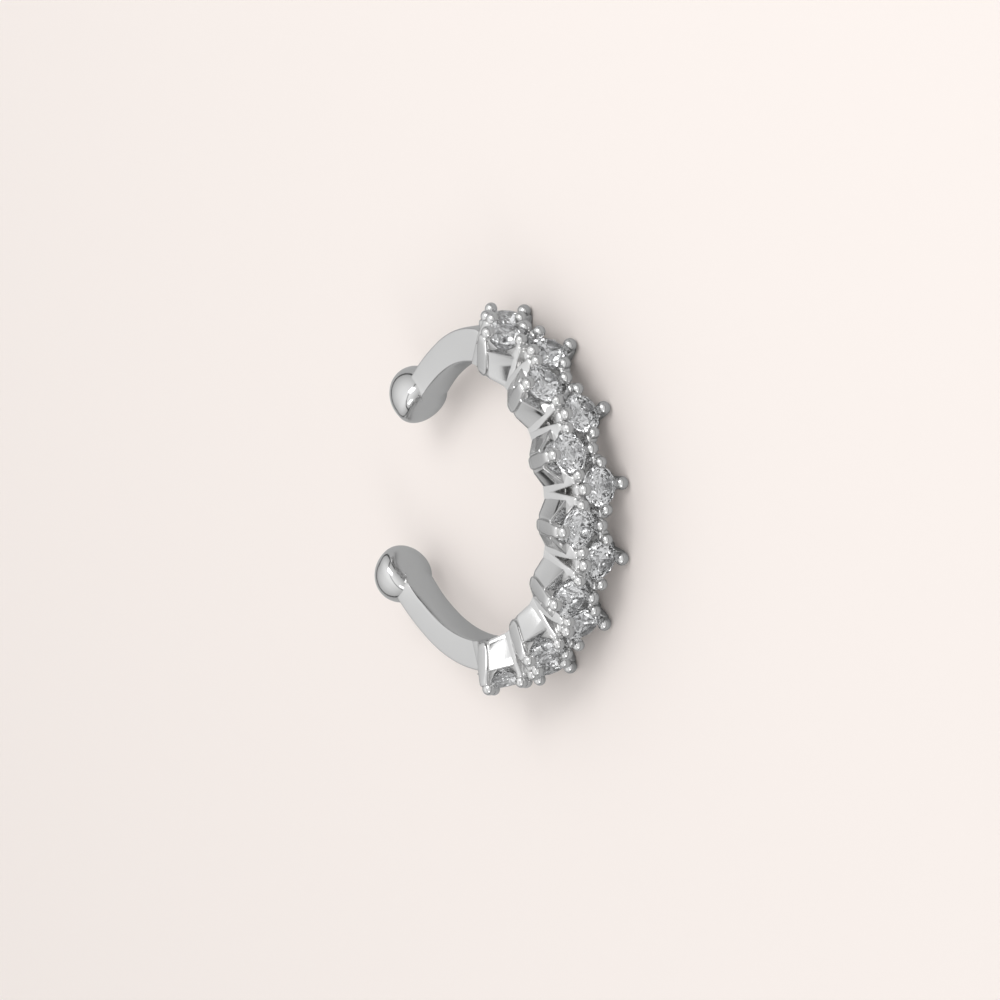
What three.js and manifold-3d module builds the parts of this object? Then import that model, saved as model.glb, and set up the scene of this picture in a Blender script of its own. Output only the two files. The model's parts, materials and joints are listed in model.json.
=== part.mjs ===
// Ear cuff: an open oval hoop that slips over the rim of the ear.
//
// The metal is one casting: a flat band that ends in two round pads, and a zigzag of four-prong
// settings round its front. Each setting holds one round brilliant. The cuff lies on its side.
//
// Hoop frame, in millimetres: X points out of the front of the hoop, Y towards the upper arm and Z
// along the hoop's axis. A turn is the angle of the path's outward normal from X. Each setting has
// a frame of its own: X along the path, Y along the hoop's axis and Z outwards, from the path.
// The exported group is turned so that the stones face -Y, the upper arm +X and the axis +Z.

import * as THREE from "three";
import { mergeVertices } from "three/addons/utils/BufferGeometryUtils.js";
import Module from "manifold-3d";

const wasm = await Module();
wasm.setup();

// The path is the inside of the hoop: arcs that meet without a kink, from the front to either pad.
// Each row has the turn at which its arc ends, in degrees.
const UPPER_ARCS = [
  { end: 39, radius: 5.2 },
  { end: 118, radius: 3.1 },
  { end: 141, radius: 5.2 },
];
const LOWER_ARCS = [
  { end: 29, radius: 5.2 },
  { end: 122, radius: 4.1 },
  { end: 142, radius: 6.5 },
];

// The band, from the lower pad to the upper one: two wide arms, and a narrow spine between them
// under the settings. Turns are in degrees.
const ARM_WIDTH = 1.06;
const SPINE_WIDTH = 0.46;
const SPINE_FROM = -70;
const SPINE_TO = 74;
const BAND_STEPS = 40;
const BAND_THICKNESS = [
  { turn: -142, thickness: 0.85 },
  { turn: -82, thickness: 1.0 },
  { turn: -70, thickness: 0.5 },
  { turn: 74, thickness: 0.5 },
  { turn: 86, thickness: 1.1 },
  { turn: 141, thickness: 0.8 },
];

// The round pads at the ends, turned about a line along the path's normal. Each has a face towards
// the ear that is a very shallow dome, then a flare, a widest ring and a long round back. Heights
// are above the path.
const PAD_FACE_MIDDLE = -0.03;
const PAD_FACE_RADIUS = 0.84;
const PAD_FACE_RIM = 0.11;
const PAD_RADIUS = 0.93;
const PAD_WIDEST = 0.52;
const PAD_BACK = 1.08;
const PAD_SIDES = 20;
const PAD_STEPS = 6;

// The zigzag of settings.
const SETTINGS = 14;
const PITCH = 1.22;
const ROW_OFFSET = 0.47;

// One setting, as heights above the path and half sizes about the stone's centre.
const BEAD_HEIGHT = 1.5;
const BEAD_RADIUS = 0.22;
const BEAD_REACH = 0.75;
const BEAD_SIDES = 6;
const BEAD_RINGS = 4;
const POST_TOP = 1.42;
const POST_HALF_WIDTH = 0.26;
const POST_INNER = 0.5;
const SIDE_REACH = 0.98;
const SIDE_HALF_FLAT = 0.3;
const SIDE_FLAT_FOOT = 0.95;
const END_REACH = 1.02;
const END_HALF_FLAT = 0.2;
const WALL_TOP = 1.0;
const FOOT_REACH = 0.7;
const HEEL_RADIUS = 0.25;
const HEEL_HEIGHT = 0.19;
const ROOT_DEPTH = 0.25;

// The stone, a round brilliant.
const STONE_RADIUS = 0.65;
const TABLE_RADIUS = 0.37;
const CROWN = 0.2;
const GIRDLE = 0.05;
const PAVILION = 0.55;
const TABLE_HEIGHT = 1.53;
const STONE_SIDES = 12;
const SEAT_GAP = 0.03;

const metal = new THREE.MeshStandardMaterial({
  color: 0xd4d5d6,
  metalness: 1,
  roughness: 0.12,
});
const crystal = new THREE.MeshStandardMaterial({
  color: 0xf4f6f8,
  metalness: 0,
  roughness: 0.03,
});

// A closed geometry as a solid, with only its positions, welded.
function solidOf(geometry, matrix = new THREE.Matrix4()) {
  const bare = new THREE.BufferGeometry();
  bare.setAttribute("position", geometry.getAttribute("position").clone());
  if (geometry.index) bare.setIndex(geometry.index.clone());
  bare.applyMatrix4(matrix);
  const welded = mergeVertices(bare, 1e-5);
  return new wasm.Manifold(
    new wasm.Mesh({
      numProp: 3,
      vertProperties: welded.getAttribute("position").array,
      triVerts: new Uint32Array(welded.index.array),
    }),
  );
}

function geometryOf(solid) {
  const mesh = solid.getMesh();
  return new THREE.BufferGeometry()
    .setAttribute("position", new THREE.BufferAttribute(mesh.vertProperties, 3))
    .setIndex(new THREE.BufferAttribute(mesh.triVerts, 1))
    .toNonIndexed();
}

const joined = (solids) => solids.reduce((whole, next) => whole.add(next));

// The arc that holds a turn: its radius and its centre.
function arcAt(turn) {
  const side = Math.sign(turn);
  const arcs = turn < 0 ? LOWER_ARCS : UPPER_ARCS;
  const centre = new THREE.Vector2();
  let i = 0;
  while (i < arcs.length - 1 && Math.abs(turn) > THREE.MathUtils.degToRad(arcs[i].end)) {
    const join = THREE.MathUtils.degToRad(arcs[i].end);
    const shift = arcs[i].radius - arcs[i + 1].radius;
    centre.x += shift * Math.cos(join);
    centre.y += shift * Math.sin(join) * side;
    i += 1;
  }
  return { radius: arcs[i].radius, centre };
}

function pathPoint(turn, height = 0) {
  const { radius, centre } = arcAt(turn);
  const out = new THREE.Vector2(Math.cos(turn), Math.sin(turn));
  return centre.addScaledVector(out, radius + height);
}

// The turn at a length along the line that runs at bead height, measured from the front.
function turnAt(length) {
  let left = Math.abs(length);
  let start = 0;
  for (const arc of length < 0 ? LOWER_ARCS : UPPER_ARCS) {
    const end = THREE.MathUtils.degToRad(arc.end);
    const reach = arc.radius + BEAD_HEIGHT;
    if (left <= reach * (end - start)) return Math.sign(length) * (start + left / reach);
    left -= reach * (end - start);
    start = end;
  }
  throw new Error("The settings run past the end of the path");
}

// The frame of a thing that stands on the path: X along it, Y along the axis, Z outwards.
function frameAt(turn, axial = 0) {
  const at = pathPoint(turn);
  const out = new THREE.Vector3(Math.cos(turn), Math.sin(turn), 0);
  const along = new THREE.Vector3(-Math.sin(turn), Math.cos(turn), 0);
  return new THREE.Matrix4()
    .makeBasis(along, new THREE.Vector3(0, 0, 1), out)
    .setPosition(at.x, at.y, axial);
}

const bandThickness = (turn) => {
  const degrees = THREE.MathUtils.radToDeg(turn);
  const next = Math.max(1, BAND_THICKNESS.findIndex((row) => row.turn >= degrees));
  const from = BAND_THICKNESS[next - 1];
  const to = BAND_THICKNESS[next];
  return THREE.MathUtils.mapLinear(degrees, from.turn, to.turn, from.thickness, to.thickness);
};

// Turns from one end of the band to the other, the same for the band and for what is cut by it.
const BAND_FROM = THREE.MathUtils.degToRad(BAND_THICKNESS.at(0).turn);
const BAND_TO = THREE.MathUtils.degToRad(BAND_THICKNESS.at(-1).turn);
const bandTurns = Array.from({ length: BAND_STEPS + 1 }, (_, i) =>
  THREE.MathUtils.lerp(BAND_FROM, BAND_TO, i / BAND_STEPS),
);

function bandPiece(turns, width) {
  const inside = turns.map((turn) => pathPoint(turn));
  const outside = turns.map((turn) => pathPoint(turn, bandThickness(turn))).reverse();
  const shape = new THREE.Shape([...inside, ...outside]);
  const geometry = new THREE.ExtrudeGeometry(shape, { depth: width, bevelEnabled: false });
  geometry.translate(0, 0, -width / 2);
  return solidOf(geometry);
}

function band() {
  const first = bandTurns.findIndex((turn) => turn >= THREE.MathUtils.degToRad(SPINE_FROM));
  const last = bandTurns.findLastIndex((turn) => turn <= THREE.MathUtils.degToRad(SPINE_TO));
  return joined([
    bandPiece(bandTurns.slice(0, first + 1), ARM_WIDTH),
    bandPiece(bandTurns.slice(first, last + 1), SPINE_WIDTH),
    bandPiece(bandTurns.slice(last), ARM_WIDTH),
  ]);
}

// The space inside the path, which the feet of the settings are trimmed to.
function earSpace() {
  const shape = new THREE.Shape(bandTurns.map((turn) => pathPoint(turn)));
  const depth = 4 * SIDE_REACH;
  const geometry = new THREE.ExtrudeGeometry(shape, { depth, bevelEnabled: false });
  geometry.translate(0, 0, -depth / 2);
  return solidOf(geometry);
}

function pad(turn) {
  const profile = [
    new THREE.Vector2(0, PAD_FACE_MIDDLE),
    new THREE.Vector2(PAD_FACE_RADIUS, PAD_FACE_RIM),
  ];
  for (let i = 0; i < PAD_STEPS; i++) {
    const angle = (i / PAD_STEPS) * (Math.PI / 2);
    const height = PAD_WIDEST + PAD_BACK * Math.sin(angle);
    profile.push(new THREE.Vector2(PAD_RADIUS * Math.cos(angle), height));
  }
  profile.push(new THREE.Vector2(0, PAD_WIDEST + PAD_BACK));
  const geometry = new THREE.LatheGeometry(profile, PAD_SIDES, Math.PI / PAD_SIDES);
  geometry.rotateX(Math.PI / 2);
  return solidOf(geometry, frameAt(turn));
}

// The plan of a setting: a square on its corner, with flats at the sides and ends.
function wallBlock() {
  const shape = new THREE.Shape();
  shape.moveTo(SIDE_HALF_FLAT, SIDE_REACH);
  shape.lineTo(-SIDE_HALF_FLAT, SIDE_REACH);
  shape.lineTo(-END_REACH, END_HALF_FLAT);
  shape.lineTo(-END_REACH, -END_HALF_FLAT);
  shape.lineTo(-SIDE_HALF_FLAT, -SIDE_REACH);
  shape.lineTo(SIDE_HALF_FLAT, -SIDE_REACH);
  shape.lineTo(END_REACH, -END_HALF_FLAT);
  shape.lineTo(END_REACH, END_HALF_FLAT);
  const depth = WALL_TOP + ROOT_DEPTH;
  const geometry = new THREE.ExtrudeGeometry(shape, { depth, bevelEnabled: false });
  geometry.translate(0, 0, -ROOT_DEPTH);
  return solidOf(geometry);
}

// A post reaches from the stone's edge to the outside of the setting, towards angle about Z.
function post(angle, reach) {
  const height = POST_TOP + ROOT_DEPTH;
  const box = new THREE.BoxGeometry(reach - POST_INNER, 2 * POST_HALF_WIDTH, height);
  box.translate((reach + POST_INNER) / 2, 0, height / 2 - ROOT_DEPTH);
  box.rotateZ(angle);
  return solidOf(box);
}

function bead(angle) {
  const ball = new THREE.SphereGeometry(BEAD_RADIUS, BEAD_SIDES, BEAD_RINGS);
  ball.rotateX(Math.PI / 2);
  ball.translate(BEAD_REACH, 0, BEAD_HEIGHT);
  ball.rotateZ(angle);
  return solidOf(ball);
}

// What a setting keeps, seen along the path: it narrows towards its feet, which are rounded off.
function sideGuard() {
  const shape = new THREE.Shape();
  const inner = FOOT_REACH - HEEL_RADIUS;
  shape.moveTo(-inner, -2 * ROOT_DEPTH);
  shape.lineTo(inner, -2 * ROOT_DEPTH);
  shape.absarc(inner, HEEL_HEIGHT, HEEL_RADIUS, -Math.PI / 2, 0, false);
  shape.lineTo(SIDE_REACH, SIDE_FLAT_FOOT);
  shape.lineTo(SIDE_REACH, 2 * POST_TOP);
  shape.lineTo(-SIDE_REACH, 2 * POST_TOP);
  shape.lineTo(-SIDE_REACH, SIDE_FLAT_FOOT);
  shape.absarc(-inner, HEEL_HEIGHT, HEEL_RADIUS, Math.PI, 1.5 * Math.PI, false);
  const depth = 4 * END_REACH;
  const geometry = new THREE.ExtrudeGeometry(shape, { depth, bevelEnabled: false, curveSegments: 2 });
  geometry.translate(0, 0, -depth / 2);
  geometry.rotateX(Math.PI / 2);
  geometry.rotateZ(Math.PI / 2);
  return solidOf(geometry);
}

function settingSolid() {
  const posts = [0, 1, 2, 3].map((quarter) =>
    post((quarter * Math.PI) / 2, quarter % 2 ? SIDE_REACH : END_REACH),
  );
  const beads = [0, 1, 2, 3].map((quarter) => bead((quarter * Math.PI) / 2));
  return joined([joined([wallBlock(), ...posts]).intersect(sideGuard()), ...beads]);
}

// The stone's outline from its point up, spread outwards by a gap.
function stoneProfile(gap = 0) {
  const girdleTop = TABLE_HEIGHT - CROWN;
  const girdleFoot = girdleTop - GIRDLE;
  return [
    new THREE.Vector2(0, girdleFoot - PAVILION - 1.5 * gap),
    new THREE.Vector2(STONE_RADIUS + gap, girdleFoot - gap / 2),
    new THREE.Vector2(STONE_RADIUS + gap, girdleTop + gap / 2),
    new THREE.Vector2(TABLE_RADIUS + gap, TABLE_HEIGHT + gap),
    new THREE.Vector2(0, TABLE_HEIGHT + gap),
  ];
}

function stoneGeometry(gap) {
  const geometry = new THREE.LatheGeometry(stoneProfile(gap), STONE_SIDES);
  return geometry.rotateX(Math.PI / 2);
}

// Stone 1 is next to the upper arm; the even ones stand in the row on the +Z side.
const places = Array.from({ length: SETTINGS }, (_, i) => {
  const turn = turnAt(((SETTINGS - 1) / 2 - i) * PITCH);
  return frameAt(turn, i % 2 ? ROW_OFFSET : -ROW_OFFSET);
});

function frameSolid() {
  const oneSetting = settingSolid();
  const settings = places.map((place) => oneSetting.transform(place.toArray()));
  const seats = places.map((place) => solidOf(stoneGeometry(SEAT_GAP), place));
  const zigzag = joined(settings).subtract(earSpace());
  return joined([zigzag, band(), pad(BAND_FROM), pad(BAND_TO)]).subtract(joined(seats));
}

function addMesh(group, name, geometry, material) {
  const mesh = new THREE.Mesh(geometry, material);
  mesh.name = name;
  group.add(mesh);
  return mesh;
}

const hoop = new THREE.Group();
addMesh(hoop, "cuff_frame", geometryOf(frameSolid()), metal);
places.forEach((place, i) => {
  const name = `stone_${String(i + 1).padStart(2, "0")}`;
  const stone = addMesh(hoop, name, stoneGeometry(0), crystal);
  stone.applyMatrix4(place);
});

// The cuff rests on its -Z side, with the origin under the middle of its outline.
hoop.rotation.z = -Math.PI / 2;
hoop.updateMatrixWorld(true);
const outline = new THREE.Box3().setFromObject(hoop, true);
const middle = outline.getCenter(new THREE.Vector3());
hoop.position.set(-middle.x, -middle.y, -outline.min.z);

const cuff = new THREE.Group();
cuff.add(hoop);

export default cuff;
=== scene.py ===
"""Finish model of an ear cuff: a plated hoop with a zigzag of prong-set brilliants, on a pale floor."""

import functools
import json
import math

import bpy
import numpy as np
from bpy.props import FloatProperty, FloatVectorProperty, IntProperty, PointerProperty
from mathutils import Matrix, Vector

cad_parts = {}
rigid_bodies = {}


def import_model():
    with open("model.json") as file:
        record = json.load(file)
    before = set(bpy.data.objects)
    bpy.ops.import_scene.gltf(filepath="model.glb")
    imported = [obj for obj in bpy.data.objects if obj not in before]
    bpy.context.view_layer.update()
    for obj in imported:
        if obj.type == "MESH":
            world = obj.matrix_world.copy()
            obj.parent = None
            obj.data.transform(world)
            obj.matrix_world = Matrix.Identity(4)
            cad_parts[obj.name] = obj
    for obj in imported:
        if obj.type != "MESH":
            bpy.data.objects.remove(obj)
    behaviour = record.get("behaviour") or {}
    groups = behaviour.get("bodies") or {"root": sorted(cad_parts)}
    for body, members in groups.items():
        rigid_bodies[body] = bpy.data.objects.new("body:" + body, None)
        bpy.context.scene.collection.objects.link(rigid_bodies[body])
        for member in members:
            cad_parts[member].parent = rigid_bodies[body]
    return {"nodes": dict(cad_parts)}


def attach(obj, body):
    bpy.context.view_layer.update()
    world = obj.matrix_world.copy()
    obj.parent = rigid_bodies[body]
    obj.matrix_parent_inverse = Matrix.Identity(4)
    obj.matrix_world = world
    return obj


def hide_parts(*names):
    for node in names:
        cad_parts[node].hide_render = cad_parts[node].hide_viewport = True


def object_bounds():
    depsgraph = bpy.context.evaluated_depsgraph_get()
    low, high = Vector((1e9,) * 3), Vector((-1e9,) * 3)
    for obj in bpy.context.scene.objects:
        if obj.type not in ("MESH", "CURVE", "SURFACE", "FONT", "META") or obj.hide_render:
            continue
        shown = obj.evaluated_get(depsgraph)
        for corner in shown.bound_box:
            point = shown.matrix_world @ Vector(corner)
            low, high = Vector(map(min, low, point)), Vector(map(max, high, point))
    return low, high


bl_info = {
    "name": "Ear Cuff",
    "version": (1, 0, 0),
    "blender": (4, 5, 0),
    "location": "3D View > Sidebar > Ear Cuff",
    "description": "Builds the finished ear cuff around its packed frame",
    "category": "Add Mesh",
}

for leftover in list(bpy.data.objects):
    bpy.data.objects.remove(leftover)
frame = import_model()
CAD_BOX = [list(corner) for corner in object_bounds()]
METAL_NODE = "cuff_frame"
STONE_NODES = sorted(name for name in frame["nodes"] if name.startswith("stone_"))
FRONT_STONES = ("stone_06", "stone_09")
MM = 0.001

# The inside of the hoop: arcs that meet without a kink, from the front to either pad, each as the
# turn at which it ends, in degrees, and its radius, in millimetres. A turn is the angle of the
# outward normal from the hoop's front towards its upper arm.
UPPER_ARCS = ((39, 5.2), (118, 3.1), (141, 5.2))
LOWER_ARCS = ((29, 5.2), (122, 4.1), (142, 6.5))
UPPER_END = UPPER_ARCS[-1][0]
LOWER_END = -LOWER_ARCS[-1][0]

# The stone's heights above the path.
TABLE_HEIGHT = 1.53
CULET_HEIGHT = 0.73


# ---------------------------------------------------------------- sizes and colours a user changes


class CuffBandSizes(bpy.types.PropertyGroup):
    """The band and its pads"""

    width: FloatProperty(
        name="Arm Width", description="Width of the two arms", default=1.06 * MM, unit="LENGTH"
    )
    spine_width: FloatProperty(
        name="Spine Width",
        description="Width of the band under the settings",
        default=0.72 * MM,
        unit="LENGTH",
    )
    crown: FloatProperty(
        name="Inner Crown",
        description="How far the inside of the band bulges towards the ear",
        default=0.1 * MM,
        unit="LENGTH",
    )
    pad_radius: FloatProperty(
        name="Pad Radius", description="Radius of the round pads", default=0.92 * MM, unit="LENGTH"
    )
    slices: IntProperty(
        name="Slices", description="Cross-sections from one pad to the other", default=320, min=60
    )


class CuffSettingSizes(bpy.types.PropertyGroup):
    """The four-prong settings"""

    recess: FloatProperty(
        name="Wall Recess",
        description="How far the walls lie behind the posts",
        default=0.1 * MM,
        unit="LENGTH",
    )
    wall_top: FloatProperty(
        name="Wall Top",
        description="Height of the walls above the inside of the hoop",
        default=0.98 * MM,
        unit="LENGTH",
    )
    post_width: FloatProperty(
        name="Post Width", description="Width of a post's outer face", default=0.5 * MM, unit="LENGTH"
    )
    side_bead_radius: FloatProperty(
        name="Side Bead Radius",
        description="Radius of the beads at a setting's two sides",
        default=0.22 * MM,
        unit="LENGTH",
    )
    end_bead_radius: FloatProperty(
        name="End Bead Radius",
        description="Radius of the beads between one setting and the next",
        default=0.2 * MM,
        unit="LENGTH",
    )


class CuffStoneSizes(bpy.types.PropertyGroup):
    """The round brilliants"""

    radius: FloatProperty(
        name="Radius", description="Radius at the girdle", default=0.64 * MM, unit="LENGTH"
    )
    refraction: FloatProperty(
        name="Refraction", description="Index of refraction", default=2.16, min=1.3, max=2.6
    )


class CuffFinish(bpy.types.PropertyGroup):
    """The colours of the plating, the stones and the floor"""

    metal: FloatVectorProperty(
        name="Metal",
        description="Colour of the plating",
        subtype="COLOR",
        size=3,
        min=0,
        max=1,
        default=(0.77, 0.768, 0.765),
    )
    stone: FloatVectorProperty(
        name="Stone",
        description="Colour of the stones",
        subtype="COLOR",
        size=3,
        min=0,
        max=1,
        default=(0.985, 0.99, 1.0),
    )
    floor: FloatVectorProperty(
        name="Floor",
        description="Colour of the floor",
        subtype="COLOR",
        size=3,
        min=0,
        max=1,
        default=(0.94, 0.87, 0.83),
    )


# ---------------------------------------------------------------- the hoop's path


def arc_at(turn):
    """The radius of the path's arc at a turn, in mm and degrees, and its centre in the hoop's plane."""
    arcs = LOWER_ARCS if turn < 0 else UPPER_ARCS
    x = y = 0.0
    for (join, radius), (_, following) in zip(arcs, arcs[1:]):
        if abs(turn) <= join:
            return radius, x, y
        angle = math.radians(math.copysign(join, turn))
        x += (radius - following) * math.cos(angle)
        y += (radius - following) * math.sin(angle)
    return arcs[-1][1], x, y


def path_frame(turn):
    """The hoop's point, outward normal and forward direction at a turn, in mm, about its centre."""
    radius, x, y = arc_at(turn)
    angle = math.radians(turn)
    out = Vector((math.cos(angle), math.sin(angle), 0))
    along = Vector((-math.sin(angle), math.cos(angle), 0))
    return Vector((x, y, 0)) + out * radius, out, along


def to_row(point):
    """A point of the hoop, in mm with the front along X, in the row frame, in metres."""
    turned = Vector((point[1], -point[0], point[2])) * MM
    return turned + HOOP_CENTRE


def stone_axis(node):
    """The point and outward direction of a stone, read from its CAD solid."""
    corners = np.array([v.co for v in frame["nodes"][node].data.vertices], float)
    corners = np.unique(corners.round(7), axis=0)
    apart = np.linalg.norm(corners[:, None] - corners[None], axis=2)
    np.fill_diagonal(apart, np.inf)
    loneliest = np.argmax(apart.min(axis=1))
    culet = corners[loneliest]
    rest = np.delete(corners, loneliest, axis=0)
    return Vector(culet), Vector(rest.mean(axis=0) - culet).normalized()


def hoop_centre():
    """Where the axes of two stones on the front arc meet, half way up the hoop."""
    (p, u), (q, v) = (stone_axis(node) for node in FRONT_STONES)
    cross = u.x * v.y - u.y * v.x
    reach = ((q.x - p.x) * v.y - (q.y - p.y) * v.x) / cross
    middle = (CAD_BOX[0][2] + CAD_BOX[1][2]) / 2
    return Vector((p.x + reach * u.x, p.y + reach * u.y, middle))


HOOP_CENTRE = hoop_centre()


def setting_matrix(node):
    """The frame of one setting: X along the path, Y up the hoop's axis, Z out, from the path."""
    culet, out = stone_axis(node)
    base = culet - out * (CULET_HEIGHT * MM)
    axis = Vector((0, 0, 1))
    along = axis.cross(out)
    return Matrix(
        (
            (along.x, axis.x, out.x, base.x),
            (along.y, axis.y, out.y, base.y),
            (along.z, axis.z, out.z, base.z),
            (0, 0, 0, 1),
        )
    )


# ---------------------------------------------------------------- meshes


def add_piece(name, points, faces, material, slot, nodes, smooth_angle=None):
    """A mesh object in the row frame that rides on the cuff and stands for some of its CAD nodes."""
    old = bpy.data.objects.get(name)
    if old:
        bpy.data.objects.remove(old)
    mesh = bpy.data.meshes.new(name)
    mesh.from_pydata([tuple(p) for p in points], [], [tuple(f) for f in faces])
    mesh.validate()
    mesh.update()
    mesh.materials.append(material)
    if smooth_angle is not None:
        mesh.shade_smooth()
        mesh.set_sharp_from_angle(angle=math.radians(smooth_angle))
    piece = bpy.data.objects.new(name, mesh)
    bpy.context.scene.collection.objects.link(piece)
    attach(piece, "root")
    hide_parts(*nodes)


def add_metal(name, shells, material, smooth_angle):
    """A piece of the casting, with its edges left sharp above an angle in degrees."""
    mesh = (shells.points, shells.faces)
    add_piece(name, *mesh, material, "plated_silver", [METAL_NODE], smooth_angle)


class Shells:
    """Closed shells that gather into one mesh, each made of rings of the same number of points."""

    def __init__(self):
        self.points = []
        self.faces = []

    def loft(self, rings, matrix=None):
        """A closed shell through rings of points, capped by a fan at both ends."""
        count = len(rings[0])
        start = len(self.points)
        for ring in rings:
            self.points += [matrix @ Vector(p) if matrix else Vector(p) for p in ring]
        for i in range(len(rings) - 1):
            low = start + i * count
            high = low + count
            for j in range(count):
                k = (j + 1) % count
                self.faces.append((low + j, low + k, high + k, high + j))
        self.cap(start, count, flip=True)
        self.cap(start + (len(rings) - 1) * count, count, flip=False)

    def cap(self, first, count, flip):
        """A fan over one end ring."""
        middle = sum((self.points[first + j] for j in range(count)), Vector()) / count
        hub = len(self.points)
        self.points.append(middle)
        for j in range(count):
            k = (j + 1) % count
            edge = (first + k, first + j) if flip else (first + j, first + k)
            self.faces.append((*edge, hub))


def smoothstep(low, high, value):
    """0 below low, 1 above high and a smooth S between them."""
    t = min(1.0, max(0.0, (value - low) / (high - low)))
    return t * t * (3 - 2 * t)


def rounded_outline(corners, radius, steps=4):
    """A convex outline with each corner turned into an arc, as points going anticlockwise."""
    outline = []
    count = len(corners)
    for i, corner in enumerate(corners):
        here = Vector(corner)
        back = (Vector(corners[i - 1]) - here).normalized()
        ahead = (Vector(corners[(i + 1) % count]) - here).normalized()
        half = back.angle(ahead) / 2
        middle = here + (back + ahead).normalized() * (radius / math.sin(half))
        first = here + back * (radius / math.tan(half)) - middle
        sweep = math.pi - 2 * half
        for step in range(steps + 1):
            turn = Matrix.Rotation(sweep * step / steps, 2)
            outline.append(middle + turn @ first)
    return outline


# ---------------------------------------------------------------- the band and its pads

# Thickness of the band by turn, in degrees and mm: stout in the arms and slim under the settings.
BAND_THICKNESS = (
    (LOWER_END, 0.85),
    (-82, 1.0),
    (-70, 0.68),
    (74, 0.68),
    (86, 1.1),
    (UPPER_END, 0.8),
)
BAND_EDGE = 0.14
SPINE_SETBACK = 0.14

# How square a cross-section is on its outside and on its inside, as the power that its sines and
# cosines are raised to: 1 is an oval and less is squarer.
OUTSIDE_POWER = 0.4
INSIDE_POWER = 0.77
SECTION_POINTS = 28

# The turns, in degrees, over which the band comes out from under the settings, and over which it
# widens from the spine to the arm.
LOWER_BARE = (-76, -82)
UPPER_BARE = (80, 86)
LOWER_FULL = (-69, -73)
UPPER_FULL = (73, 77)

# A pad's heights above the path, and how square the turn from its face to its wall is.
PAD_FACE = -0.03
PAD_WIDEST = 0.52
PAD_TOP = 1.59
PAD_SQUARENESS = 3.2

# The band widens into a pad along a disc, as a share of the pad's radius, with a fillet. Its inside
# rises to the pad's face, and inside the pad it sinks a little and narrows to a root, half of whose
# width is given. Each range is where such a change starts and ends, before the pad's middle and over
# the pad's radius.
PAD_DISC_SHARE = 0.84
PAD_FILLET = 0.1
PAD_ROOT = 0.4
FLARE_RANGE = (-1.6, -1.0)
ROOT_RANGE = (-0.75, -0.4)
FACE_RANGE = (-1.8, -0.7)
HIDDEN_RANGE = (-0.65, 0.0)
HIDDEN_DEPTH = 0.02


def band_thickness(turn):
    """The band's thickness at a turn, eased between the rows of its table."""
    for (low, thin), (high, thick) in zip(BAND_THICKNESS, BAND_THICKNESS[1:]):
        if turn <= high:
            return thin + (thick - thin) * smoothstep(low, high, turn)
    return BAND_THICKNESS[-1][1]


def flared_half_width(half, to_pad, radius):
    """Half the band's width near a pad: it widens softly into the pad's wall and ends inside it."""
    disc = math.sqrt(max(0.0, (PAD_DISC_SHARE * radius) ** 2 - to_pad**2))
    wider = disc - half
    flare = (wider + math.hypot(wider, PAD_FILLET)) / 2
    half += flare * smoothstep(*FLARE_RANGE, to_pad / radius)
    return half + (PAD_ROOT - half) * smoothstep(*ROOT_RANGE, to_pad / radius)


def band_section(half, floor, belly, top, edge):
    """One cross-section, as (axial, outward) points in mm: an outside, two sides and an inside."""
    section = []
    for i in range(SECTION_POINTS):
        angle = math.pi * i / (SECTION_POINTS - 1)
        across = half * math.copysign(abs(math.cos(angle)) ** OUTSIDE_POWER, math.cos(angle))
        section.append((across, top + edge * math.sin(angle) ** OUTSIDE_POWER))
    for i in range(SECTION_POINTS):
        angle = math.pi * i / (SECTION_POINTS - 1)
        across = -half * math.copysign(abs(math.cos(angle)) ** INSIDE_POWER, math.cos(angle))
        section.append((across, floor - belly * math.sin(angle) ** INSIDE_POWER))
    return section


def band_shell(sizes):
    """The whole band, from the middle of the lower pad to the middle of the upper one."""
    half_arm = sizes.width / MM / 2
    half_spine = sizes.spine_width / MM / 2
    radius = sizes.pad_radius / MM
    crown = sizes.crown / MM
    rings = []
    for i in range(sizes.slices + 1):
        turn = LOWER_END + (UPPER_END - LOWER_END) * i / sizes.slices
        base, out, _ = path_frame(turn)
        to_pad = -min(
            math.radians(turn - LOWER_END) * LOWER_ARCS[-1][1],
            math.radians(UPPER_END - turn) * UPPER_ARCS[-1][1],
        )
        bare = smoothstep(*(LOWER_BARE if turn < 0 else UPPER_BARE), turn)
        arm = smoothstep(*(LOWER_FULL if turn < 0 else UPPER_FULL), turn)
        half_band = half_spine + (half_arm - half_spine) * arm
        near = smoothstep(*FACE_RANGE, to_pad / radius)
        hidden = smoothstep(*HIDDEN_RANGE, to_pad / radius)
        bulge = crown * bare * (1 - near)
        belly = bulge - PAD_FACE * near
        floor = SPINE_SETBACK * (1 - bare) + bulge / 2 + HIDDEN_DEPTH * hidden
        half = flared_half_width(half_band, to_pad, radius)
        section = band_section(half, floor, belly, band_thickness(turn) - BAND_EDGE, BAND_EDGE)
        rings.append([to_row(base + out * o + Vector((0, 0, a))) for a, o in section])
    return rings


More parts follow.
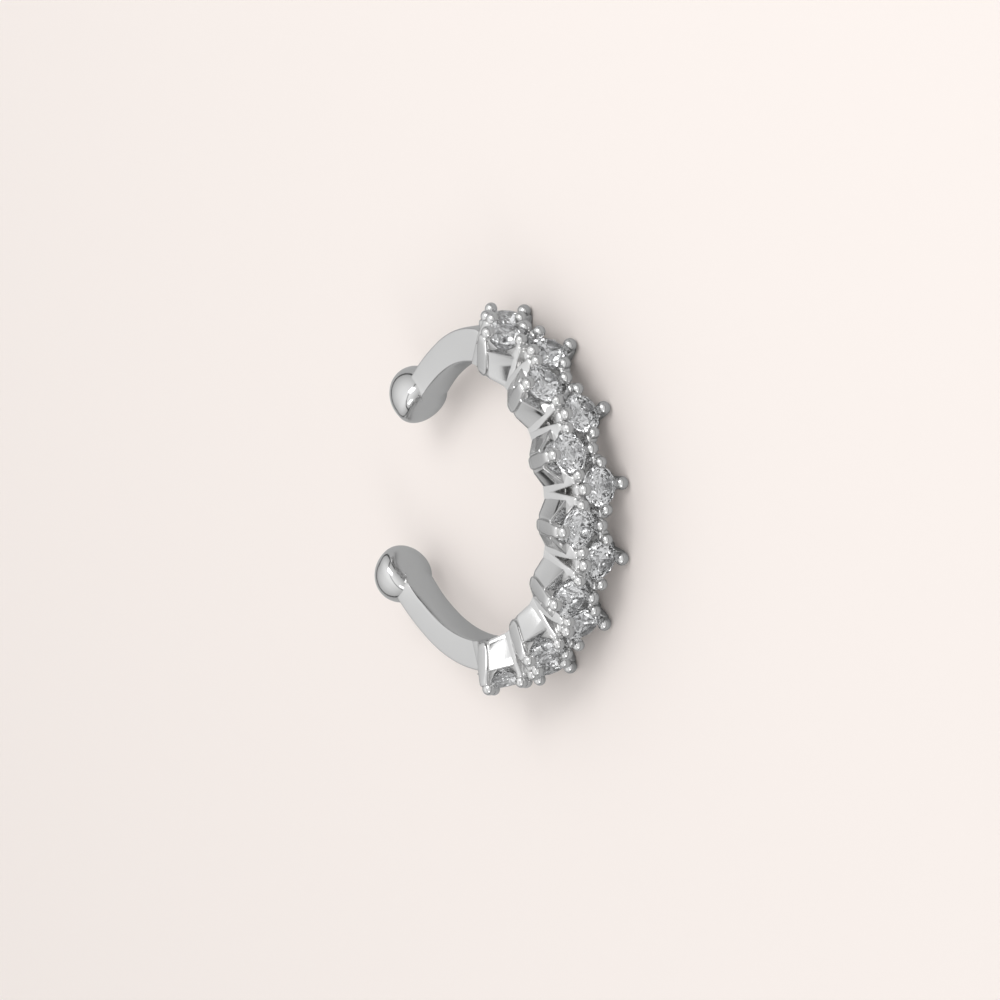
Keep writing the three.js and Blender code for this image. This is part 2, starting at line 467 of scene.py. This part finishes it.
def pad_shell(turn, radius, steps=26, sides=72):
    """One pad, turned about the path's normal: a softly domed face, a round wall and a long back."""
    base, out, along = path_frame(turn)
    axis = Vector((0, 0, 1))
    profile = []
    for step in range(1, steps + 1):
        tilt = math.pi / 2 * step / steps
        reach = math.sin(tilt) ** (2 / PAD_SQUARENESS)
        drop = max(0.0, math.cos(tilt)) ** (2 / PAD_SQUARENESS)
        profile.append((radius * reach, PAD_WIDEST - (PAD_WIDEST - PAD_FACE) * drop))
    for step in range(1, steps):
        tilt = math.pi / 2 * step / steps
        rise = (PAD_TOP - PAD_WIDEST) * math.sin(tilt)
        profile.append((radius * math.cos(tilt), PAD_WIDEST + rise))
    rings = []
    for reach, height in profile:
        ring = []
        for side in range(sides):
            spin = 2 * math.pi * side / sides
            spot = base + out * height + (along * math.cos(spin) + axis * math.sin(spin)) * reach
            ring.append(to_row(spot))
        rings.append(ring)
    return rings


class CUFF_OT_band(bpy.types.Operator):
    """Build the band with its two pads"""

    bl_idname = "cuff.band"
    bl_label = "Band and Pads"

    def execute(self, context):
        """Loft the band from pad to pad, and turn the pads."""
        sizes = context.scene.cuff_band
        shells = Shells()
        shells.loft(band_shell(sizes))
        for turn in (LOWER_END, UPPER_END):
            shells.loft(pad_shell(turn, sizes.pad_radius / MM))
        material = polished_metal(
            context.scene.cuff_finish, "polished_band", gloss=0.1, wear=0.35
        )
        add_metal("hoop_band", shells, material, smooth_angle=45)
        return {"FINISHED"}


# ---------------------------------------------------------------- the settings

# A setting's plan, in mm about the stone: how far its corners reach and how wide their flats are.
SIDE_REACH = 0.98
SIDE_HALF_FLAT = 0.3
END_REACH = 1.02
END_HALF_FLAT = 0.2

# Its sides are upright above one height, and run straight in from there to a foot with a round heel.
SIDE_FLAT_FOOT = 1.25
FOOT_REACH = 0.7
HEEL_RADIUS = 0.25
HEEL_HEIGHT = 0.19
HEEL_LEVELS = (0.0, 0.02, 0.05, 0.09, 0.14, HEEL_HEIGHT)

# Its foot follows the inside of the hoop and lies a little in it. That fades out upwards, in a post
# by one height. The span is how far to each side the hoop is followed, in degrees.
SAG_TOP = 0.6
SAG_SPAN = 30
FOOT_DEPTH = 0.02

# The walls' edges, and the conical seat cut in them, with a small lip at its top.
WALL_EDGE = 0.06
SEAT_SLOPE = 0.846
SEAT_GAP = 0.03
SEAT_TIP = 0.02
SEAT_LIP = 0.02
SEAT_RIM = 0.001
SEAT_MIDDLE = 0.9

# A post's levels, and how it narrows to its foot and, between two heights, to its crown.
POST_TOP = 1.42
POST_CROWN = 0.1
POST_LEVELS = (*HEEL_LEVELS, 0.24, 0.3, 0.37, SAG_TOP, 0.8, 0.95, 1.1, SIDE_FLAT_FOOT)
POST_TOP_HALF = 0.2
POST_TAPER = (0.8, 1.3)
POST_FOOT_HEIGHT = 0.4
POST_FOOT_PINCH = 0.85
POST_INNERMOST = 0.3
POST_LEAST_DEPTH = 0.2

# A post's edges: their radius, what the taper adds to it, and the most of a side that they take.
POST_EDGE = 0.06
POST_EDGE_GAIN = 0.05
POST_EDGE_LIMIT = 0.9
EDGE_STEPS = 4

# The posts of neighbouring settings cross at their feet, so the four of a setting differ a little in
# width, and no two faces lie in one plane.
POST_STAGGER = 0.004

# The stone's girdle, and the beads that hold its edge.
GIRDLE_HEIGHT = 1.28
STONE_EDGE = 0.65
BEAD_REACH = 0.75
BEAD_HEIGHT = 1.5
BEAD_FLOOR = 1.3
BEAD_NECK = 1.38
BEAD_TOP = 1.71
BEAD_FLOOR_SHARE = 0.82
BEAD_NECK_SHARE = 0.8
BEAD_LOWEST_TILT = -40
BEAD_HIGHEST_TILT = 89


@functools.cache
def sag_table(node):
    """Distances along a setting's foot plane, in mm, and where the inside of the hoop lies from it."""
    _, out = stone_axis(node)
    turn = math.degrees(math.atan2(out.x, -out.y))
    base, normal, forward = path_frame(turn)
    spots = [path_frame(turn + step)[0] - base for step in range(-SAG_SPAN, SAG_SPAN + 1)]
    return [spot.dot(forward) for spot in spots], [spot.dot(normal) for spot in spots]


def path_sag(node, along):
    """How far the inside of the hoop lies from a setting's foot plane, a distance along it, in mm."""
    return float(np.interp(along, *sag_table(node)))


def side_reach(height):
    """How far a setting reaches sideways at a height: it narrows to a foot that is rounded off."""
    if height >= HEEL_HEIGHT:
        rise = (height - HEEL_HEIGHT) / (SIDE_FLAT_FOOT - HEEL_HEIGHT)
        return FOOT_REACH + (SIDE_REACH - FOOT_REACH) * min(1.0, rise)
    drop = HEEL_HEIGHT - height
    return FOOT_REACH - HEEL_RADIUS + math.sqrt(max(0.0, HEEL_RADIUS**2 - drop**2))


def seat_radius(height):
    """The radius of the cone that a stone sits in."""
    return max(SEAT_TIP, (height - CULET_HEIGHT) / SEAT_SLOPE + SEAT_GAP)


def round_over(top, radius):
    """Insets and heights that round an edge off up to its top."""
    tilts = [math.pi / 2 * step / EDGE_STEPS for step in range(1, EDGE_STEPS + 1)]
    return [(radius * (1 - math.cos(t)), top - radius + radius * math.sin(t)) for t in tilts]


def wall_rings(node, recess, top):
    """The walls of a setting as one block with a conical seat in it."""
    side = SIDE_REACH - recess
    end = END_REACH - recess
    quarter = [(end, END_HALF_FLAT), (SIDE_HALF_FLAT, side)]
    corners = quarter + [(-x, y) for x, y in reversed(quarter)]
    corners += [(-x, -y) for x, y in quarter] + [(x, -y) for x, y in reversed(quarter)]
    outline = rounded_outline(corners, WALL_EDGE)
    brow = top - WALL_EDGE
    rings = []
    for height in (*HEEL_LEVELS, SAG_TOP, brow):
        share = (side_reach(height) - recess) / side
        fade = 1 - height / brow
        ring = []
        for x, y in outline:
            foot = (path_sag(node, x) - FOOT_DEPTH) * fade
            ring.append((x, y * share, height + foot))
        rings.append(ring)
    for inset, height in round_over(top, WALL_EDGE):
        rings.append([(*(p * (1 - inset / p.length)), height) for p in outline])
    seat = ((top - SEAT_RIM, SEAT_LIP), (top - SEAT_LIP, 0), (SEAT_MIDDLE, 0), (CULET_HEIGHT + SEAT_TIP, 0))
    for height, lip in seat:
        radius = seat_radius(height) + lip
        rings.append([(*(p.normalized() * radius), height) for p in outline])
    return [[Vector(p) * MM for p in ring] for ring in rings]


def post_rings(node, angle, reach, half_width):
    """One corner post, with a rounded heel and an inner face that leans with its stone."""
    turn = Matrix.Rotation(angle, 3, "Z")
    sideways = abs(math.sin(angle)) > 0.5
    rings = []

    def section(inner, outer, half, height, sag_fade):
        """One rounded rectangle of the post at a height."""
        corners = [(outer, -half), (outer, half), (inner, half), (inner, -half)]
        edge = POST_EDGE + POST_EDGE_GAIN * smoothstep(*POST_TAPER, height)
        edge = min(edge, POST_EDGE_LIMIT * (outer - inner) / 2, POST_EDGE_LIMIT * half)
        ring = []
        for x, y in rounded_outline(corners, edge):
            spot = turn @ Vector((x, y, height))
            spot.z += (path_sag(node, spot.x) - FOOT_DEPTH) * sag_fade
            ring.append(spot)
        return ring

    for height in (*POST_LEVELS, POST_TOP - POST_CROWN):
        inner = max(POST_INNERMOST, min(seat_radius(height), STONE_EDGE + SEAT_GAP))
        half = half_width - (half_width - POST_TOP_HALF) * smoothstep(*POST_TAPER, height)
        if sideways:
            drop = max(0.0, POST_FOOT_HEIGHT - height) / POST_FOOT_HEIGHT
            half *= math.sqrt(1 - POST_FOOT_PINCH * drop**2)
        outer = side_reach(height) if sideways else reach
        fade = max(0.0, 1 - height / SAG_TOP)
        rings.append(section(min(inner, outer - POST_LEAST_DEPTH), outer, half, height, fade))
    for inset, height in round_over(POST_TOP, POST_CROWN):
        inner = STONE_EDGE + SEAT_GAP + inset
        rings.append(section(inner, reach - inset, POST_TOP_HALF - inset, height, 0))
    return [[p * MM for p in ring] for ring in rings]


class CUFF_OT_settings(bpy.types.Operator):
    """Build the walls and posts of the settings"""

    bl_idname = "cuff.settings"
    bl_label = "Settings"

    def execute(self, context):
        """Build one setting under each stone."""
        sizes = context.scene.cuff_setting
        shells = Shells()
        for node in STONE_NODES:
            place = setting_matrix(node)
            shells.loft(wall_rings(node, sizes.recess / MM, sizes.wall_top / MM), place)
            for quarter in range(4):
                reach = SIDE_REACH if quarter % 2 else END_REACH
                half = sizes.post_width / MM / 2 - quarter * POST_STAGGER
                shells.loft(post_rings(node, quarter * math.pi / 2, reach, half), place)
        material = polished_metal(
            context.scene.cuff_finish, "polished_setting", gloss=0.09, wear=0.5
        )
        add_metal("prong_settings", shells, material, smooth_angle=35)
        return {"FINISHED"}


def bead_rings(radius, steps=12, sides=28):
    """A bead about its own axis: a neck that tucks under a long ball."""
    outline = [
        (BEAD_FLOOR_SHARE * radius, BEAD_FLOOR - BEAD_HEIGHT),
        (BEAD_NECK_SHARE * radius, BEAD_NECK - BEAD_HEIGHT),
    ]
    sweep = BEAD_HIGHEST_TILT - BEAD_LOWEST_TILT
    for step in range(steps + 1):
        tilt = math.radians(BEAD_LOWEST_TILT + sweep * step / steps)
        stretch = 1 if tilt < 0 else (BEAD_TOP - BEAD_HEIGHT) / radius
        outline.append((radius * math.cos(tilt), radius * math.sin(tilt) * stretch))
    rings = []
    for across, height in outline:
        turns = [2 * math.pi * side / sides for side in range(sides)]
        rings.append([(across * math.cos(t), across * math.sin(t), height) for t in turns])
    return rings


class CUFF_OT_beads(bpy.types.Operator):
    """Build the beads on top of the posts"""

    bl_idname = "cuff.beads"
    bl_label = "Prong Beads"

    def execute(self, context):
        """Put a bead on each post."""
        sizes = context.scene.cuff_setting
        outlines = [bead_rings(r / MM) for r in (sizes.end_bead_radius, sizes.side_bead_radius)]
        shells = Shells()
        for node in STONE_NODES:
            place = setting_matrix(node)
            for quarter in range(4):
                angle = quarter * math.pi / 2
                reach = Vector((BEAD_REACH * math.cos(angle), BEAD_REACH * math.sin(angle), BEAD_HEIGHT))
                rings = outlines[quarter % 2]
                shells.loft([[(reach + Vector(p)) * MM for p in ring] for ring in rings], place)
        material = polished_metal(
            context.scene.cuff_finish, "burnished_bead", gloss=0.06, wear=0.2
        )
        add_metal("prong_beads", shells, material, smooth_angle=60)
        return {"FINISHED"}


# ---------------------------------------------------------------- the stones

TABLE_SHARE = 0.57
STAR_SHARE = 0.8
LOWER_HALF_SHARE = 0.3
GIRDLE_TOP = 1.33


def brilliant(radius):
    """A round brilliant's corners and facets, in mm in its setting's frame: 57 facets and a girdle."""
    eighth = math.pi / 4
    table_radius = TABLE_SHARE * radius
    crown_slope = (TABLE_HEIGHT - GIRDLE_TOP) / (radius - table_radius)
    star_radius = STAR_SHARE * radius
    star_height = TABLE_HEIGHT - crown_slope * (star_radius * math.cos(eighth / 2) - table_radius)
    slope = (GIRDLE_HEIGHT - CULET_HEIGHT) / radius
    low_radius = LOWER_HALF_SHARE * radius
    low_height = CULET_HEIGHT + slope * low_radius * math.cos(eighth / 2)

    def ring(count, size, height, offset):
        """Corners evenly round the stone's axis."""
        turns = [offset + 2 * math.pi * i / count for i in range(count)]
        return [Vector((size * math.cos(t), size * math.sin(t), height)) for t in turns]

    points = [Vector((0, 0, CULET_HEIGHT))]
    points += ring(8, table_radius, TABLE_HEIGHT, eighth / 2)
    points += ring(8, star_radius, star_height, 0)
    points += ring(16, radius, GIRDLE_TOP, 0)
    points += ring(16, radius, GIRDLE_HEIGHT, 0)
    points += ring(8, low_radius, low_height, 0)
    table, star, upper, lower, low = 1, 9, 17, 33, 49
    facets = [tuple(table + i for i in range(8))]
    for i in range(8):
        after = (i + 1) % 8
        before = (i - 1) % 8
        main = 2 * i + 1
        facets.append((table + i, star + i, upper + main, star + after))
        facets.append((table + before, star + i, table + i))
        facets.append((star + i, upper + 2 * i, upper + main))
        facets.append((star + i, upper + (2 * i - 1) % 16, upper + 2 * i))
        facets.append((0, low + after, lower + main, low + i))
        facets.append((low + i, lower + main, lower + 2 * i))
        facets.append((low + i, lower + 2 * i, lower + (2 * i - 1) % 16))
    for i in range(16):
        after = (i + 1) % 16
        facets.append((upper + i, lower + i, lower + after, upper + after))
    return points, facets


class CUFF_OT_stones(bpy.types.Operator):
    """Cut and place the stones"""

    bl_idname = "cuff.stones"
    bl_label = "Stones"

    def execute(self, context):
        """Put a brilliant in each setting."""
        corners, facets = brilliant(context.scene.cuff_stone.radius / MM)
        material = clear_stone(context.scene.cuff_finish, context.scene.cuff_stone.refraction)
        for node in STONE_NODES:
            place = setting_matrix(node)
            points = [place @ (p * MM) for p in corners]
            name = node.replace("stone", "brilliant")
            add_piece(name, points, facets, material, "clear_stone", [node])
        return {"FINISHED"}


# ---------------------------------------------------------------- materials

# How much the plating's waves, wipe marks and spots change its roughness, its shade and its height.
WAVE_ROUGHNESS = 0.05
ROUGHNESS_SHIFT = -0.02
WIPE_ROUGHNESS = 0.1
LEAST_ROUGHNESS = 0.02
SPOT_SHADE = 0.25
WORN_SHADE = (0.72, 0.72, 0.73, 1)
WAVE_HEIGHT = 0.9
WIPE_HEIGHT = 0.06

# The noise levels between which dust starts and is at its most on a stone, and its roughness there.
DUST_LEVELS = (0.5, 0.8)
DUST_ROUGHNESS = 0.06


def polish_group():
    """The group for hand-polished plating: soft waves, fine wipe marks and a faint dulling."""
    name = "hand_polish"
    if name in bpy.data.node_groups:
        return bpy.data.node_groups[name]
    group = bpy.data.node_groups.new(name, "ShaderNodeTree")
    sockets = (
        ("Gloss", "INPUT", "NodeSocketFloat"),
        ("Wear", "INPUT", "NodeSocketFloat"),
        ("Tint", "INPUT", "NodeSocketColor"),
        ("Color", "OUTPUT", "NodeSocketColor"),
        ("Roughness", "OUTPUT", "NodeSocketFloat"),
        ("Height", "OUTPUT", "NodeSocketFloat"),
    )
    for label, way, kind in sockets:
        group.interface.new_socket(name=label, in_out=way, socket_type=kind)
    nodes = group.nodes
    links = group.links
    entry = nodes.new("NodeGroupInput")
    leave = nodes.new("NodeGroupOutput")
    place = nodes.new("ShaderNodeTexCoord")

    def noise(scale, detail, roughness=0.5):
        """A noise in the object's own metres."""
        texture = nodes.new("ShaderNodeTexNoise")
        texture.inputs["Scale"].default_value = scale
        texture.inputs["Detail"].default_value = detail
        texture.inputs["Roughness"].default_value = roughness
        links.new(place.outputs["Object"], texture.inputs["Vector"])
        return texture.outputs["Fac"]

    def math_node(operation, first, second, third=None):
        """One sum, with a number or a socket for each term."""
        node = nodes.new("ShaderNodeMath")
        node.operation = operation
        for slot, value in zip(node.inputs, (first, second, third)):
            if value is None:
                continue
            if isinstance(value, (int, float)):
                slot.default_value = value
            else:
                links.new(value, slot)
        return node.outputs[0]

    waves = noise(scale=900, detail=2)
    wipes = noise(scale=9000, detail=4, roughness=0.7)
    spots = noise(scale=2500, detail=3)
    wear = entry.outputs["Wear"]
    varied = math_node("MULTIPLY_ADD", waves, WAVE_ROUGHNESS, ROUGHNESS_SHIFT)
    worn = math_node("MULTIPLY", math_node("MULTIPLY", wipes, wear), WIPE_ROUGHNESS)
    rough = math_node("ADD", entry.outputs["Gloss"], math_node("ADD", varied, worn))
    links.new(math_node("MAXIMUM", rough, LEAST_ROUGHNESS), leave.inputs["Roughness"])
    shade = nodes.new("ShaderNodeMixRGB")
    shade.blend_type = "MULTIPLY"
    dull = math_node("MULTIPLY", math_node("MULTIPLY", spots, wear), SPOT_SHADE)
    links.new(dull, shade.inputs["Fac"])
    links.new(entry.outputs["Tint"], shade.inputs["Color1"])
    shade.inputs["Color2"].default_value = WORN_SHADE
    links.new(shade.outputs["Color"], leave.inputs["Color"])
    fine = math_node("MULTIPLY", wipes, WIPE_HEIGHT)
    height = math_node("MULTIPLY_ADD", waves, WAVE_HEIGHT, fine)
    links.new(height, leave.inputs["Height"])
    return group


def polished_metal(finish, name, gloss, wear):
    """Bright plating over a cast surface, with its own gloss and wear."""
    material = bpy.data.materials.new(name)
    material.use_nodes = True
    nodes = material.node_tree.nodes
    links = material.node_tree.links
    shader = nodes["Principled BSDF"]
    shader.inputs["Metallic"].default_value = 1.0
    polish = nodes.new("ShaderNodeGroup")
    polish.node_tree = polish_group()
    polish.inputs["Gloss"].default_value = gloss
    polish.inputs["Wear"].default_value = wear
    polish.inputs["Tint"].default_value = (*finish.metal, 1)
    links.new(polish.outputs["Color"], shader.inputs["Base Color"])
    links.new(polish.outputs["Roughness"], shader.inputs["Roughness"])
    bump = nodes.new("ShaderNodeBump")
    bump.inputs["Strength"].default_value = 0.12
    bump.inputs["Distance"].default_value = 0.03 * MM
    links.new(polish.outputs["Height"], bump.inputs["Height"])
    links.new(bump.outputs["Normal"], shader.inputs["Normal"])
    return material


def clear_stone(finish, refraction):
    """A clear cut stone with a trace of dust in its polish."""
    material = bpy.data.materials.new("clear_brilliant")
    material.use_nodes = True
    nodes = material.node_tree.nodes
    links = material.node_tree.links
    shader = nodes["Principled BSDF"]
    shader.inputs["Transmission Weight"].default_value = 1.0
    shader.inputs["IOR"].default_value = refraction
    shader.inputs["Base Color"].default_value = (*finish.stone, 1)
    place = nodes.new("ShaderNodeTexCoord")
    dust = nodes.new("ShaderNodeTexNoise")
    dust.inputs["Scale"].default_value = 4000
    links.new(place.outputs["Object"], dust.inputs["Vector"])
    spread = nodes.new("ShaderNodeMapRange")
    spread.inputs["From Min"].default_value = DUST_LEVELS[0]
    spread.inputs["From Max"].default_value = DUST_LEVELS[1]
    spread.inputs["To Max"].default_value = DUST_ROUGHNESS
    links.new(dust.outputs["Fac"], spread.inputs["Value"])
    links.new(spread.outputs["Result"], shader.inputs["Roughness"])
    return material


# ---------------------------------------------------------------- floor, light and camera

# The camera's place: turned from the hoop's axis, raised from its plane, and rolled, in degrees; its
# distance, its lens and sensor, and how far to the right of and above the hoop's middle it aims, in mm.
VIEW_TURN = 51.76
VIEW_RISE = 7.74
VIEW_ROLL = 3.80
VIEW_DISTANCE = 186.4
LENS = 209.0
SENSOR = 36.0
AIM_RIGHT = 1.264
AIM_UP = -0.199

# Half the floor's width, in metres.
FLOOR_HALF = 0.6

# The tent's brightness from straight down, 0, to straight up, 1; how much of it is left from the
# front, 0, to the back, 1, with a dark strip that runs overhead; and the lamps in it, each with its
# place from the hoop's middle and its width, in metres, and its power in watts. The metal mirrors
# the floor in a painted shade: a plain grey, darker than the floor, that darkens its reflections.
TENT_LEVELS = ((0.0, 0.6), (0.49, 0.6), (0.505, 0.02), (0.54, 0.02), (0.555, 0.48), (1.0, 1.0))
STRIP_LEVELS = ((0.0, 1.0), (0.375, 1.0), (0.39, 0.03), (0.415, 0.03), (0.43, 1.0), (1.0, 0.95))
TENT_STRENGTH = 1.05
FLOOR_PAINTED_REFLECTION_SHADE = 0.48
LAMPS = (
    ("key", (0.06, -0.03, 0.09), 0.05, 0.03),
    ("fill", (-0.08, -0.06, 0.06), 0.04, 0.01),
)


def camera_axes():
    """The camera's right, up and back directions in the hoop's frame."""
    turn, rise, roll = (math.radians(v) for v in (VIEW_TURN, VIEW_RISE, VIEW_ROLL))
    near = Vector((math.sin(turn), 0, math.cos(turn)))
    across = Vector((math.cos(turn), 0, -math.sin(turn)))
    basis = Matrix((across, Vector((0, 1, 0)), near))
    tilt = Matrix.Rotation(rise, 3, "X")
    spin = Matrix.Rotation(roll, 3, "Z")
    return spin @ tilt @ basis


def row_direction(direction):
    """A direction of the hoop's frame in the row frame."""
    return Vector((direction[1], -direction[0], direction[2]))


class CUFF_OT_stage(bpy.types.Operator):
    """Set the floor, the soft light and the camera"""

    bl_idname = "cuff.stage"
    bl_label = "Stage"

    def execute(self, context):
        """Make the stage anew."""
        scene = context.scene
        finish = scene.cuff_finish
        scene.view_settings.view_transform = "Standard"
        scene.cycles.glossy_bounces = 10
        add_floor(finish.floor)
        add_camera(scene)
        add_lights(scene)
        return {"FINISHED"}


def add_floor(color):
    """A wide plain floor under the cuff, with a painted shade where the metal mirrors it: its reflections
    show a darker grey.
    """
    corners = ((-1, -1), (1, -1), (1, 1), (-1, 1))
    points = [(x * FLOOR_HALF, y * FLOOR_HALF, 0) for x, y in corners]
    mesh = bpy.data.meshes.new("floor")
    mesh.from_pydata(points, [], [(0, 1, 2, 3)])
    material = bpy.data.materials.new("pale_floor")
    material.use_nodes = True
    nodes = material.node_tree.nodes
    links = material.node_tree.links
    shader = nodes["Principled BSDF"]
    ray = nodes.new("ShaderNodeLightPath")
    # Painted shade: rays mirrored off the metal see the floor as a darker grey than it is.
    painted_floor_reflection = nodes.new("ShaderNodeMixRGB")
    painted_floor_reflection.inputs["Color1"].default_value = (*color, 1)
    painted_floor_reflection.inputs["Color2"].default_value = (*[FLOOR_PAINTED_REFLECTION_SHADE] * 3, 1)
    links.new(ray.outputs["Is Glossy Ray"], painted_floor_reflection.inputs["Fac"])
    links.new(painted_floor_reflection.outputs["Color"], shader.inputs["Base Color"])
    shader.inputs["Roughness"].default_value = 0.8
    shader.inputs["Specular IOR Level"].default_value = 0.2
    mesh.materials.append(material)
    floor = bpy.data.objects.new("floor", mesh)
    bpy.context.scene.collection.objects.link(floor)


def add_camera(scene):
    """A long lens, looking down at the cuff where it lies."""
    right, up, back = (row_direction(axis) for axis in camera_axes())
    data = bpy.data.cameras.new("camera")
    data.lens = LENS
    data.sensor_width = SENSOR
    data.clip_start = 0.01
    data.clip_end = 10
    camera = bpy.data.objects.new("camera", data)
    spot = HOOP_CENTRE + (back * VIEW_DISTANCE + right * AIM_RIGHT + up * AIM_UP) * MM
    turned = Matrix((right, up, back)).transposed().to_4x4()
    camera.matrix_world = Matrix.Translation(spot) @ turned
    scene.collection.objects.link(camera)
    scene.camera = camera


def add_area(name, spot, size, power):
    """A square soft light that faces the cuff."""
    data = bpy.data.lights.new(name, "AREA")
    data.size = size
    data.energy = power
    light = bpy.data.objects.new(name, data)
    light.location = spot
    light.rotation_euler = (HOOP_CENTRE - spot).to_track_quat("-Z", "Y").to_euler()
    bpy.context.scene.collection.objects.link(light)


def add_lights(scene):
    """A bright tent of light with a dark band low round it and a dark strip overhead, and lamps."""
    world = bpy.data.worlds.new("light_tent")
    world.use_nodes = True
    nodes = world.node_tree.nodes
    links = world.node_tree.links
    background = nodes["Background"]
    place = nodes.new("ShaderNodeTexCoord")
    split = nodes.new("ShaderNodeSeparateXYZ")
    links.new(place.outputs["Generated"], split.inputs["Vector"])

    def levels(axis, stops):
        """Brightness by how far a direction points along one axis."""
        ramp = nodes.new("ShaderNodeValToRGB")
        elements = ramp.color_ramp.elements
        while len(elements) < len(stops):
            elements.new(0.5)
        for element, (position, level) in zip(elements, stops):
            element.position = position
            element.color = (level, level, level, 1)
        remap = nodes.new("ShaderNodeMapRange")
        remap.inputs["From Min"].default_value = -1
        links.new(split.outputs[axis], remap.inputs["Value"])
        links.new(remap.outputs["Result"], ramp.inputs["Fac"])
        return ramp.outputs["Color"]

    both = nodes.new("ShaderNodeMixRGB")
    both.blend_type = "MULTIPLY"
    both.inputs["Fac"].default_value = 1.0
    links.new(levels("Z", TENT_LEVELS), both.inputs["Color1"])
    links.new(levels("Y", STRIP_LEVELS), both.inputs["Color2"])
    links.new(both.outputs["Color"], background.inputs["Color"])
    background.inputs["Strength"].default_value = TENT_STRENGTH
    scene.world = world
    for name, offset, size, power in LAMPS:
        add_area(name, HOOP_CENTRE + Vector(offset), size, power)


# ---------------------------------------------------------------- the add-on


class CUFF_PT_panel(bpy.types.Panel):
    """The ear cuff's sizes, finish and pieces"""

    bl_idname = "CUFF_PT_panel"
    bl_label = "Ear Cuff"
    bl_space_type = "VIEW_3D"
    bl_region_type = "UI"
    bl_category = "Ear Cuff"

    def draw(self, context):
        """List the settings and the operators."""
        layout = self.layout
        for group in ("cuff_band", "cuff_setting", "cuff_stone", "cuff_finish"):
            box = layout.box()
            values = getattr(context.scene, group)
            for key in values.__annotations__:
                box.prop(values, key)
        for operator in OPERATORS:
            layout.operator(operator.bl_idname)


PROPERTY_GROUPS = {
    "cuff_band": CuffBandSizes,
    "cuff_setting": CuffSettingSizes,
    "cuff_stone": CuffStoneSizes,
    "cuff_finish": CuffFinish,
}
OPERATORS = (
    CUFF_OT_band,
    CUFF_OT_settings,
    CUFF_OT_beads,
    CUFF_OT_stones,
    CUFF_OT_stage,
)


def register():
    """Add the classes and their settings to Blender."""
    for cls in (*PROPERTY_GROUPS.values(), *OPERATORS, CUFF_PT_panel):
        bpy.utils.register_class(cls)
    for key, cls in PROPERTY_GROUPS.items():
        setattr(bpy.types.Scene, key, PointerProperty(type=cls))


def unregister():
    """Take the classes and their settings out of Blender."""
    for key in PROPERTY_GROUPS:
        delattr(bpy.types.Scene, key)
    for cls in (CUFF_PT_panel, *reversed(OPERATORS), *PROPERTY_GROUPS.values()):
        bpy.utils.unregister_class(cls)


def main():
    """Build every piece and the stage."""
    register()
    bpy.ops.cuff.band()
    bpy.ops.cuff.settings()
    bpy.ops.cuff.beads()
    bpy.ops.cuff.stones()
    bpy.ops.cuff.stage()
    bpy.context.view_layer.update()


if __name__ == "__main__":
    main()
